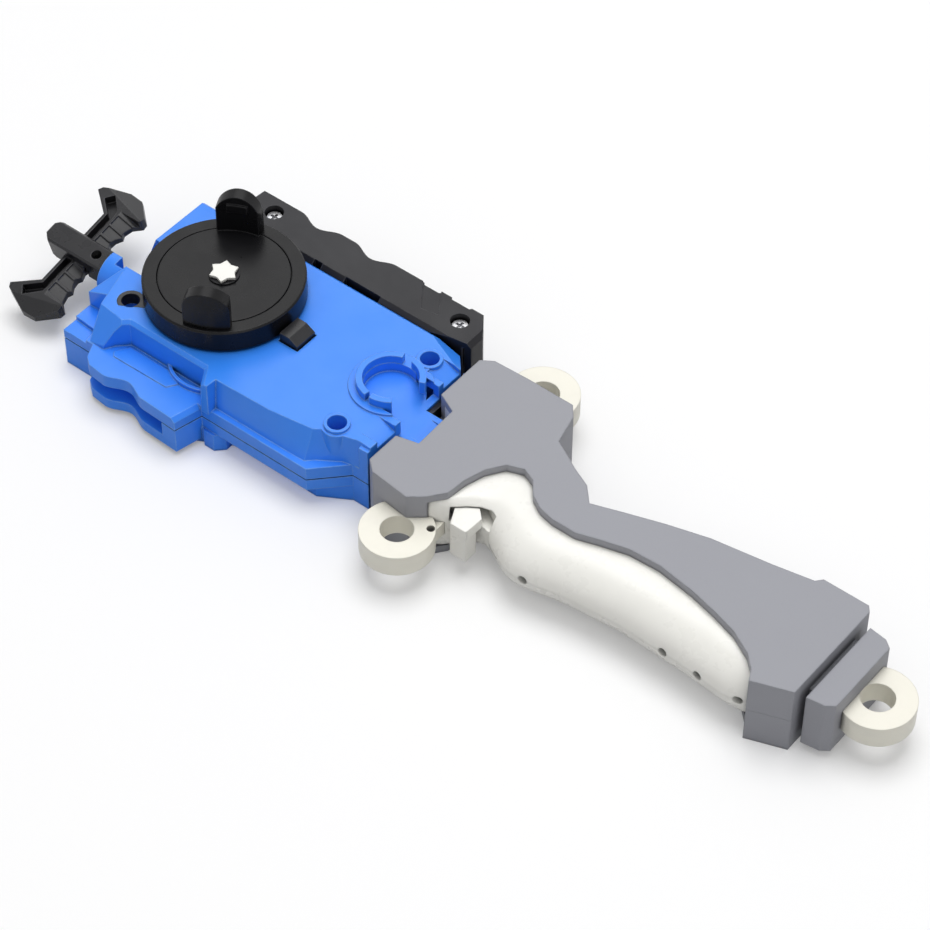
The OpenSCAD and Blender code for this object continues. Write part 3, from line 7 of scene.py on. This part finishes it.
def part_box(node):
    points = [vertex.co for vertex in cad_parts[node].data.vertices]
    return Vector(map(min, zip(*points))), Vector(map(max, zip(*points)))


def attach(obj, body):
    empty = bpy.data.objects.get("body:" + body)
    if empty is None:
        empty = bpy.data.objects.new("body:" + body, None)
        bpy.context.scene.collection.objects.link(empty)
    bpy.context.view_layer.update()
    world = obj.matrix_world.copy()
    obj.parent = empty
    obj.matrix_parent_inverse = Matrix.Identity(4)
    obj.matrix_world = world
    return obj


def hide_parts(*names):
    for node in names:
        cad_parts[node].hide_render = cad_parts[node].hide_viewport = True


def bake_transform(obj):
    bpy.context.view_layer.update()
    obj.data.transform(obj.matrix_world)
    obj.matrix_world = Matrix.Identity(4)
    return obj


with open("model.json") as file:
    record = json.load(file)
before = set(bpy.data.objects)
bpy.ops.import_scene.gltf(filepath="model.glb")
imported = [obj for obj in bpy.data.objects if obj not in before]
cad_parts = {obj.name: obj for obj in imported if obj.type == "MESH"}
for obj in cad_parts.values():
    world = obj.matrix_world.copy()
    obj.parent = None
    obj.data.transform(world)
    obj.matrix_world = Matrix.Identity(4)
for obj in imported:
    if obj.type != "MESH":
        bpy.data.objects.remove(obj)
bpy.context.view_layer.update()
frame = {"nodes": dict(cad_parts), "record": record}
nodes = frame["nodes"]
MM = 0.001

# Lengths are in metres, the angles named here in degrees, and shares run from 0 to 1

# Camera, as fitted to the photograph: focal length and image's side in pixels, sensor in millimetres
PITCH, YAW, ROLL = 47.78, 38.38, 0.35
CAMERA_PLACE = (398.8 * MM, -409.4 * MM, 585.7 * MM)
FOCAL_LENGTH, IMAGE_SIDE = 3296, 930
SENSOR_WIDTH = 36
CLIP_NEAR, CLIP_FAR = 0.05, 20

# Edges that turn by more than this stay sharp, and corners that lie this close count as one
CREASE = 24
SAME_CORNER = 0.002 * MM

# Painted shade in holes and seams: its dark colour, how far they reach and how much of it shows
SHADE_COLOUR = (0.08, 0.08, 0.09, 1)
SHADE_REACH, SHADE_SHARE = 2.4 * MM, 0.85

# Pull string: its line through the case, its radius, and the step between its rings
STRING_Y, STRING_Z = -6 * MM, 13 * MM
STRING_RADIUS, STRING_STEP = 0.8 * MM, 0.15 * MM

# Turns of string on the reel: out along it in one layer and back in the next
TURNS, STEPS_PER_TURN = 4, 90
LAYER_RADIUS, LAYER_RISE = 7.35 * MM, 1.7 * MM
CLIMB_TURNS = 0.3
SWEEP_WIDTH = 2.1 * MM

# Knot: size of its trefoil, radius of its strand and number of rings
KNOT_SIZE, KNOT_STRAND, KNOT_RINGS = 0.285 * MM, 0.36 * MM, 120

# Coil springs: node, the body that each pushes, number of its axis, wire's radius and turns
SPRINGS = (("plunger_spring", "plunger", 2, 0.24 * MM, 9), ("lever_spring", "latch", 1, 0.18 * MM, 5))

# Floor: half its side, how far it lies below the object, the colours that the camera sees
# and that light bounces from, and the glow that makes it read as white paper
FLOOR_REACH, FLOOR_GAP = 6, 0.05 * MM
FLOOR_SEEN, FLOOR_THROWN = (0.80, 0.80, 0.803, 1), (0.62, 0.62, 0.622, 1)
FLOOR_GLOW = 0.18

# Dome's strength at the horizon and overhead, and the point that the lamps aim at
HORIZON, ZENITH = 0.20, 0.70
AIM = (0.07, 0, 0)


# Camera

def make_camera():
    pitch, yaw, roll = (math.radians(a) for a in (PITCH, YAW, ROLL))
    forward = Vector((-math.sin(yaw) * math.cos(pitch), math.cos(yaw) * math.cos(pitch), -math.sin(pitch)))
    level = Vector((math.cos(yaw), math.sin(yaw), 0))
    lift = level.cross(forward)
    right = math.cos(roll) * level + math.sin(roll) * lift
    up = -math.sin(roll) * level + math.cos(roll) * lift
    turn = Matrix((right, up, -forward)).transposed().to_4x4()
    data = bpy.data.cameras.new("camera")
    data.sensor_width = SENSOR_WIDTH
    data.lens = FOCAL_LENGTH / IMAGE_SIDE * SENSOR_WIDTH
    data.clip_start, data.clip_end = CLIP_NEAR, CLIP_FAR
    camera = bpy.data.objects.new("camera", data)
    bpy.context.scene.collection.objects.link(camera)
    camera.matrix_world = Matrix.Translation(Vector(CAMERA_PLACE)) @ turn
    bpy.context.scene.camera = camera


make_camera()


# Helpers for node trees

def linear(r, g, b):
    """The linear colour of an sRGB one, each from 0 to 255."""
    def one(c):
        c = c / 255
        return c / 12.92 if c <= 0.04045 else ((c + 0.055) / 1.055) ** 2.4
    return (one(r), one(g), one(b), 1)


class Graph:
    """A short way to write node trees."""

    def __init__(self, tree):
        self.tree = tree
        tree.nodes.clear()

    def add(self, kind, **values):
        node = self.tree.nodes.new(kind)
        for name, value in values.items():
            setattr(node, name, value)
        return node

    def put(self, value, socket):
        """Links a socket, or sets a plain value."""
        if isinstance(value, bpy.types.NodeSocket):
            self.tree.links.new(value, socket)
        else:
            socket.default_value = value

    def math(self, operation, a, b=0.0):
        node = self.add("ShaderNodeMath", operation=operation)
        self.put(a, node.inputs[0])
        self.put(b, node.inputs[1])
        return node.outputs[0]

    def mix(self, factor, a, b, blend="MIX"):
        node = self.add("ShaderNodeMix", data_type="RGBA", blend_type=blend)
        self.put(factor, node.inputs[0])
        self.put(a, node.inputs[6])
        self.put(b, node.inputs[7])
        return node.outputs[2]

    def between(self, value, low, high, to_low=0.0, to_high=1.0):
        """Maps low to high onto to_low to to_high, clamped."""
        node = self.add("ShaderNodeMapRange", clamp=True)
        for socket, v in zip(node.inputs, (value, low, high, to_low, to_high)):
            self.put(v, socket)
        return node.outputs[0]

    def place(self, scale=(1, 1, 1), turn=(0, 0, 0)):
        """Object coordinates, stretched and turned."""
        coordinates = self.add("ShaderNodeTexCoord")
        mapping = self.add("ShaderNodeMapping")
        mapping.inputs["Scale"].default_value = scale
        mapping.inputs["Rotation"].default_value = turn
        self.put(coordinates.outputs["Object"], mapping.inputs["Vector"])
        return mapping.outputs[0]

    def noise(self, size, detail=2.0, rough=0.5, vector=None, distortion=0.0):
        """Noise whose features are about size metres across."""
        node = self.add("ShaderNodeTexNoise")
        self.put(vector if vector is not None else self.place(), node.inputs["Vector"])
        node.inputs["Scale"].default_value = 1 / size
        node.inputs["Detail"].default_value = detail
        node.inputs["Roughness"].default_value = rough
        node.inputs["Distortion"].default_value = distortion
        return node.outputs["Fac"]

    def edge(self, radius):
        """0 on open surface, towards 1 along an edge, and the rounded normal there."""
        rounded = self.add("ShaderNodeBevel", samples=6)
        rounded.inputs["Radius"].default_value = radius
        geometry = self.add("ShaderNodeNewGeometry")
        dot = self.add("ShaderNodeVectorMath", operation="DOT_PRODUCT")
        self.put(rounded.outputs[0], dot.inputs[0])
        self.put(geometry.outputs["Normal"], dot.inputs[1])
        return self.between(dot.outputs["Value"], 0.995, 0.86), rounded.outputs[0]

    def paint_shade(self, body):
        """Paints shade into a colour: darkens it deep in holes, seams and gaps."""
        node = self.add("ShaderNodeAmbientOcclusion", samples=6)
        node.inputs["Distance"].default_value = SHADE_REACH
        hollow = self.between(node.outputs["AO"], 0.66, 0.30)
        return self.mix(self.math("MULTIPLY", hollow, SHADE_SHARE), body, SHADE_COLOUR, "MULTIPLY")

    def bump(self, height, distance, strength=1.0, normal=None):
        node = self.add("ShaderNodeBump")
        self.put(height, node.inputs["Height"])
        node.inputs["Distance"].default_value = distance
        node.inputs["Strength"].default_value = strength
        if normal is not None:
            self.put(normal, node.inputs["Normal"])
        return node.outputs[0]

    def surface(self, **values):
        """A Principled shader; a value's name is its socket's, with _ for each space."""
        shader = self.add("ShaderNodeBsdfPrincipled")
        for name, value in values.items():
            self.put(value, shader.inputs[name.replace("_", " ")])
        out = self.add("ShaderNodeOutputMaterial")
        self.put(shader.outputs[0], out.inputs["Surface"])


def material(name):
    made = bpy.data.materials.new(name)
    made.use_nodes = True
    return made, Graph(made.node_tree)


# Materials

def moulded(name, colour, pale_tone, rough, swirl=0.06, wear_and_highlight=0.35, scuffs=0.5, gloss=0.5, round_edge=0.4 * MM):
    """Injection-moulded plastic: flow swirl in its colour, a fine skin, faint scuffs, painted shade in holes
    and seams, and edges made pale, partly by rubbing and partly as a painted highlight.
    """
    made, g = material(name)
    edge, normal = g.edge(round_edge)
    flow = g.noise(30 * MM, detail=3, rough=0.55, distortion=1.2)
    patch = g.noise(6 * MM, detail=3, rough=0.6)
    body = g.mix(g.between(flow, 0.3, 0.7, 0, swirl), colour, pale_tone)
    body = g.mix(g.between(patch, 0.45, 0.8, 0, swirl * 0.6), body, (0, 0, 0, 1))
    # Painted shade: the colour darkens deep in holes, seams and gaps
    body = g.paint_shade(body)
    # Edges made paler in patches: partly rubbing, partly a painted highlight along the edges
    rubbed = g.math("MULTIPLY", edge, g.between(g.noise(3.5 * MM, detail=4, rough=0.7), 0.25, 0.65))
    body = g.mix(g.math("MULTIPLY", rubbed, wear_and_highlight), body, pale_tone)

    # Two sets of fine scratches, lying in scattered patches
    along = g.place(scale=(0.07, 1.4, 1.0), turn=(0.2, 0.1, 0.5))
    across = g.place(scale=(1.2, 0.06, 1.0), turn=(0.1, 0.3, -0.35))
    long_way = g.noise(1.6 * MM, detail=4, rough=0.75, vector=along)
    cross_way = g.noise(1.9 * MM, detail=4, rough=0.75, vector=across)
    scuff = g.math("MAXIMUM", g.between(long_way, 0.64, 0.74), g.between(cross_way, 0.66, 0.76))
    scuff = g.math("MULTIPLY", scuff, g.between(g.noise(22 * MM), 0.42, 0.66))

    used = g.math("ADD", g.math("MULTIPLY", scuff, 0.16 * scuffs), g.math("MULTIPLY", rubbed, 0.14))
    roughness = g.math("ADD", g.between(patch, 0.25, 0.75, rough - 0.05, rough + 0.07), used)
    normal = g.bump(g.noise(4 * MM, rough=0.4), 0.03 * MM, 0.25, normal)
    normal = g.bump(g.noise(0.35 * MM, rough=0.6), 0.006 * MM, 0.5, normal)
    normal = g.bump(scuff, 0.01 * MM, 0.25 * scuffs, normal)
    g.surface(Base_Color=body, Roughness=roughness, Normal=normal, Specular_IOR_Level=gloss)
    return made


def cover_skin(name, colour, pale_tone):
    """The plain pressed cover of the grip: a fine spark-eroded grain that takes the shine off it."""
    made, g = material(name)
    edge, normal = g.edge(0.6 * MM)
    cloud = g.noise(18 * MM, detail=3)
    speck = g.noise(0.4 * MM, rough=0.7)
    body = g.mix(g.between(cloud, 0.3, 0.7, 0, 0.10), colour, pale_tone)
    body = g.mix(g.between(speck, 0.55, 0.85, 0, 0.10), body, linear(120, 122, 128))
    # Painted shade: the colour darkens deep in holes, seams and gaps
    body = g.paint_shade(body)
    rubbed = g.math("MULTIPLY", edge, g.between(g.noise(4 * MM, detail=4, rough=0.7), 0.35, 0.7))
    body = g.mix(g.math("MULTIPLY", rubbed, 0.45), body, pale_tone)
    roughness = g.between(cloud, 0.25, 0.75, 0.46, 0.58)
    normal = g.bump(speck, 0.02 * MM, 0.5, normal)
    normal = g.bump(g.noise(5 * MM), 0.08 * MM, 0.3, normal)
    g.surface(Base_Color=body, Roughness=roughness, Normal=normal, Specular_IOR_Level=0.3)
    return made


def metal(name, colour, dull, bright, rough=0.28):
    """Zinc-plated steel: drawn lines, a cloudy plating and bright rubbed edges."""
    made, g = material(name)
    edge, normal = g.edge(0.12 * MM)
    drawn = g.noise(0.2 * MM, detail=3, rough=0.7, vector=g.place((0.04, 1, 1)))
    cloud = g.noise(2.5 * MM, detail=3, rough=0.6)
    body = g.mix(g.between(cloud, 0.3, 0.7, 0, 0.5), colour, dull)
    body = g.mix(g.math("MULTIPLY", edge, 0.6), body, bright)
    clouded = g.between(cloud, 0.3, 0.7, rough - 0.06, rough + 0.1)
    roughness = g.math("ADD", clouded, g.math("MULTIPLY", drawn, 0.08))
    normal = g.bump(drawn, 0.004 * MM, 0.6, normal)
    g.surface(Base_Color=body, Metallic=1.0, Roughness=roughness, Normal=normal)
    return made


def fibre(name, colour, shade):
    """Braided cord: fine filaments along each strand and a little grey in the hollows."""
    made, g = material(name)
    hair = g.noise(0.12 * MM, detail=3, rough=0.7, vector=g.place((0.25, 1, 1)))
    cloud = g.noise(4 * MM)
    body = g.mix(g.between(hair, 0.3, 0.75, 0, 0.55), colour, shade)
    body = g.mix(g.between(cloud, 0.35, 0.7, 0, 0.25), body, shade)
    roughness = g.between(hair, 0.2, 0.8, 0.7, 0.9)
    g.surface(Base_Color=body, Roughness=roughness, Normal=g.bump(hair, 0.04 * MM, 0.8), Sheen_Weight=0.3)
    return made


# Finish of each of the record's material slots
# The pale edges in the moulded finishes are partly rubbing and partly painted highlight
finish = {
    "case_blue": moulded("case_blue", linear(46, 134, 247), linear(138, 192, 253), rough=0.34, swirl=0.05,
                         wear_and_highlight=0.9, gloss=0.42, round_edge=0.5 * MM),
    "rail_grey": moulded("rail_grey", linear(30, 30, 34), linear(112, 112, 116), rough=0.35, wear_and_highlight=0.6,
                         gloss=0.22),
    "plastic_black": moulded("plastic_black", linear(27, 27, 30), linear(104, 104, 108), rough=0.28, wear_and_highlight=0.6,
                             gloss=0.34),
    "chuck_black": moulded("chuck_black", linear(13, 13, 15), linear(88, 88, 92), rough=0.28, wear_and_highlight=0.4,
                           scuffs=1.0, gloss=0.16),
    "plastic_white": moulded("plastic_white", linear(243, 242, 236), linear(249, 249, 246), rough=0.28,
                             swirl=0.05),
    "loop_ivory": moulded("loop_ivory", linear(239, 236, 223), linear(247, 245, 235), rough=0.34, swirl=0.08),
    "gear_ivory": moulded("gear_ivory", linear(224, 217, 194), linear(240, 236, 220), rough=0.36, swirl=0.1),
    "cover_grey": cover_skin("cover_grey", linear(152, 153, 160), linear(182, 184, 190)),
    "steel": metal("steel", linear(186, 187, 192), linear(150, 146, 138), linear(232, 232, 235)),
    "cord_white": fibre("cord_white", linear(236, 234, 228), linear(176, 172, 162)),
}


# CAD nodes: finish and smooth shading

def smoothing(angle):
    """A modifier's node group that shades a CAD mesh smooth, except along edges sharper than the angle."""
    tree = bpy.data.node_groups.new("smoothing", "GeometryNodeTree")
    for way in ("INPUT", "OUTPUT"):
        tree.interface.new_socket("Geometry", in_out=way, socket_type="NodeSocketGeometry")
    g = Graph(tree)
    merged = g.add("GeometryNodeMergeByDistance")
    g.put(g.add("NodeGroupInput").outputs[0], merged.inputs["Geometry"])
    merged.inputs["Distance"].default_value = SAME_CORNER
    shaded = g.add("GeometryNodeSetMeshNormal", mode="SHARPNESS")
    g.put(merged.outputs["Geometry"], shaded.inputs["Mesh"])
    shaded.inputs["Remove Custom"].default_value = True
    turn = g.add("GeometryNodeInputMeshEdgeAngle").outputs["Unsigned Angle"]
    over = g.add("FunctionNodeCompare", data_type="FLOAT", operation="GREATER_THAN")
    g.put(turn, over.inputs[0])
    over.inputs[1].default_value = math.radians(angle)
    g.put(over.outputs["Result"], shaded.inputs["Edge Sharpness"])
    g.put(shaded.outputs["Mesh"], g.add("NodeGroupOutput").inputs[0])
    return tree


def dress_nodes():
    smooth = smoothing(CREASE)
    for part in frame["record"]["subparts"]:
        thing = nodes[part["node"]]
        thing.data.materials.clear()
        thing.data.materials.append(finish[part["material_slot"]])
        thing.modifiers.new("smooth", "NODES").node_group = smooth


dress_nodes()


# Cord and springs

def tube(name, path, radius, around, slot, relief=None, closed=False):
    """A mesh tube along a path of points; relief gives a factor on its radius from ring number and turn."""
    points = [Vector(p) for p in path]
    count = len(points)
    ring = [2 * math.pi * k / around for k in range(around)]
    verts, side = [], None
    for i, point in enumerate(points):
        after = points[(i + 1) % count] if closed or i + 1 < count else point
        before = points[i - 1] if closed or i else point
        ahead = (after - before).normalized()
        if closed:
            side = after + before - 2 * point
        elif side is None:
            side = ahead.orthogonal()
        side = (side - side.dot(ahead) * ahead).normalized()
        other = ahead.cross(side)
        for a in ring:
            r = radius * (relief(i, a) if relief else 1)
            verts.append(point + r * (math.cos(a) * side + math.sin(a) * other))
    faces = []
    for i in range(count if closed else count - 1):
        j = (i + 1) % count
        for k in range(around):
            m = (k + 1) % around
            faces.append((i * around + k, i * around + m, j * around + m, j * around + k))
    if not closed:
        faces += [tuple(range(around))[::-1], tuple(range((count - 1) * around, count * around))]
    mesh = bpy.data.meshes.new(name)
    mesh.from_pydata(verts, [], faces)
    mesh.polygons.foreach_set("use_smooth", [len(f) == 4 for f in faces])
    mesh.materials.append(finish[slot])
    made = bpy.data.objects.new(name, mesh)
    bpy.context.scene.collection.objects.link(made)
    return made


def coil(start, axis, radius, turns, length, steps=24, flat=0.75):
    """Points of a coil round an axis, 0 for X to 2 for Z, from its start. Its end turns lie flat."""
    out = []
    for i in range(turns * steps + 1):
        t = i / steps
        a = 2 * math.pi * t
        point = start.copy()
        point[axis] += min(max((t - flat) / (turns - 2 * flat), 0), 1) * length
        point[(axis + 1) % 3] += radius * math.cos(a)
        point[(axis + 2) % 3] += radius * math.sin(a)
        out.append(point)
    return out


def braid(pitch, strands=4, depth=0.16):
    """Relief of a round braid: two sets of strands that cross over each other, pitch rings to a turn."""
    def relief(i, a):
        along = 2 * math.pi * i / pitch
        left, right = math.cos(strands * a + along), math.cos(strands * a - along)
        over = 0.5 + 0.5 * math.sin(2 * along) * math.sin(2 * strands * a)
        return 1 - depth + depth * (max(left, right) * 0.75 + 0.25 * over)
    return relief


def make_string():
    """The braided string from the reel to the knot, made as one straight tube that stays where it is."""
    low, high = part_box("pull_string")
    count = int((high.x - low.x) / STRING_STEP)
    line = [(high.x - i * STRING_STEP, STRING_Y, STRING_Z) for i in range(count + 1)]
    string = tube("pull_string_braid", line, STRING_RADIUS, 24, "cord_white", braid(15))
    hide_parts("pull_string")
    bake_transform(string)


def make_knot():
    """A trefoil pulled tight in the hole of the handle's stem."""
    low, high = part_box("cord_knot")
    middle = (low + high) / 2
    loop = []
    for i in range(KNOT_RINGS):
        t = 2 * math.pi * i / KNOT_RINGS
        trefoil = Vector((0.85 * math.sin(3 * t), math.sin(t) + 2 * math.sin(2 * t),
                          math.cos(t) - 2 * math.cos(2 * t)))
        loop.append(middle + KNOT_SIZE * trefoil)
    knot = tube("cord_knot_tied", loop, KNOT_STRAND, 12, "cord_white", braid(12, 2, 0.1), closed=True)
    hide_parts("cord_knot")
    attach(knot, "string_end")


def make_wound_string():
    """Two layers of turns on the reel's drum, out along it and back."""
    low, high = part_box("wound_string")
    middle = (low + high) / 2
    half = TURNS / 2
    path = []
    for i in range(TURNS * STEPS_PER_TURN + 1):
        t = i / STEPS_PER_TURN
        layer = min(max((t - half) / CLIMB_TURNS + 0.5, 0), 1)
        sweep = 1 - abs(t / half - 1)
        r = LAYER_RADIUS + LAYER_RISE * layer
        a = 2 * math.pi * t
        path.append(middle + Vector((r * math.cos(a), r * math.sin(a), SWEEP_WIDTH * (sweep - 0.5))))
    wound = tube("wound_string_turns", path, STRING_RADIUS, 16, "cord_white", braid(9))
    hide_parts("wound_string")
    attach(wound, "reel")


def make_springs():
    """A coil in place of each plain spring, squeezed between the launcher and the body that it pushes."""
    for node, body, axis, wire, turns in SPRINGS:
        low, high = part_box(node)
        base = (low + high) / 2
        top = base.copy()
        base[axis], top[axis] = low[axis], high[axis]
        start = base.copy()
        start[axis] += wire
        width = min((high - low)[n] for n in range(3) if n != axis)
        path = coil(start, axis, width / 2 - wire, turns, top[axis] - base[axis] - 2 * wire)
        made = tube(node + "_coil", path, wire, 8, "steel")
        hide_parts(node)
        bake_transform(made)


make_string()
make_knot()
make_wound_string()
make_springs()


# Stage and light

def make_floor():
    """A white floor that keeps the shadow. It throws a little less light up than it shows."""
    made, g = material("floor")
    base = g.add("ShaderNodeBsdfDiffuse")
    glow = g.add("ShaderNodeEmission")
    path = g.add("ShaderNodeLightPath")
    g.put(g.mix(path.outputs["Is Diffuse Ray"], FLOOR_SEEN, FLOOR_THROWN), base.inputs["Color"])
    g.put(g.math("MULTIPLY", path.outputs["Is Camera Ray"], FLOOR_GLOW), glow.inputs["Strength"])
    both = g.add("ShaderNodeAddShader")
    g.put(base.outputs[0], both.inputs[0])
    g.put(glow.outputs[0], both.inputs[1])
    g.put(both.outputs[0], g.add("ShaderNodeOutputMaterial").inputs["Surface"])
    mesh = bpy.data.meshes.new("floor")
    corners = [(x * FLOOR_REACH, y * FLOOR_REACH, 0) for x, y in ((-1, -1), (1, -1), (1, 1), (-1, 1))]
    mesh.from_pydata(corners, [], [(0, 1, 2, 3)])
    mesh.materials.append(made)
    floor = bpy.data.objects.new("floor", mesh)
    floor.location.z = -FLOOR_GAP
    bpy.context.scene.collection.objects.link(floor)


def make_dome():
    """A soft sky, brightest overhead. The camera, reflections and glass see plain white."""
    world = bpy.data.worlds.new("studio")
    bpy.context.scene.world = world
    world.use_nodes = True
    g = Graph(world.node_tree)
    path = g.add("ShaderNodeLightPath")
    seen = g.math("MAXIMUM", path.outputs["Is Camera Ray"], path.outputs["Is Transmission Ray"])
    seen = g.math("MAXIMUM", seen, path.outputs["Is Glossy Ray"])
    split = g.add("ShaderNodeSeparateXYZ")
    g.put(g.add("ShaderNodeTexCoord").outputs["Generated"], split.inputs[0])
    dome = g.between(split.outputs["Z"], 0, 1, HORIZON, ZENITH)
    back = g.add("ShaderNodeBackground")
    g.put(g.math("MAXIMUM", dome, seen), back.inputs["Strength"])
    back.inputs["Color"].default_value = (1, 1, 1, 1)
    g.put(back.outputs[0], g.add("ShaderNodeOutputWorld").inputs["Surface"])


def lamp(name, place, size, power, diffuse=True):
    """A round soft lamp. Without diffuse, it only shows as a sheen on glossy surfaces."""
    data = bpy.data.lights.new(name, "AREA")
    data.shape, data.size, data.energy = "DISK", size, power
    made = bpy.data.objects.new(name, data)
    made.location = place
    made.rotation_mode = "QUATERNION"
    made.rotation_quaternion = (Vector(AIM) - Vector(place)).to_track_quat("-Z", "Y")
    made.visible_diffuse = diffuse
    bpy.context.scene.collection.objects.link(made)


make_floor()
make_dome()
lamp("key", place=(0.00, 0.22, 1.38), size=1.0, power=10.0)
lamp("sheen", place=(-0.42, 0.60, 0.90), size=0.8, power=2.6, diffuse=False)
lamp("fill", place=(0.90, -0.50, 0.90), size=0.7, power=1.2)
bpy.context.scene.view_settings.view_transform = "Standard"
